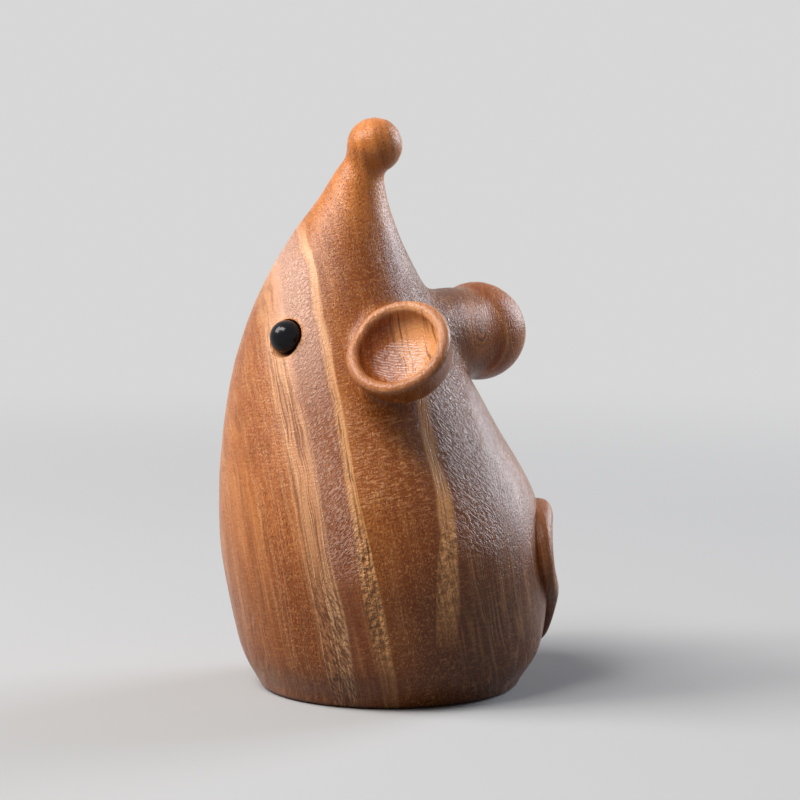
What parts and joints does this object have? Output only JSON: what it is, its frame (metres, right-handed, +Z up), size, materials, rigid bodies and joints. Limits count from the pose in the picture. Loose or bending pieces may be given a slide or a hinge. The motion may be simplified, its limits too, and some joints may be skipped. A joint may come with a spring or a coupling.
{
  "type": "carved wooden mouse figurine",
  "caption": "Small carved wooden mouse that stands upright on a flat base, snout up, with dished ears, a ball nose, a tail in relief and glossy bead eyes.",
  "frame": {"origin": "centre of the flat base, at the height of the surface that the mouse stands on", "axes": "+Z up through the snout, the mouse faces -Y, and +X is towards its own left ear"},
  "size_m": [0.0296, 0.031, 0.0512],
  "materials": {
    "carved_wood": "satin, hand-sanded and oiled",
    "black_bead": "gloss",
    "cured_glue": "clear, dried"
  },
  "bodies": {
    "root": {"carved_body": "carved_wood", "eye_bead_left": "black_bead", "eye_bead_right": "black_bead", "eye_glue_left": "cured_glue", "eye_glue_right": "cured_glue"}
  },
  "joints": []
}
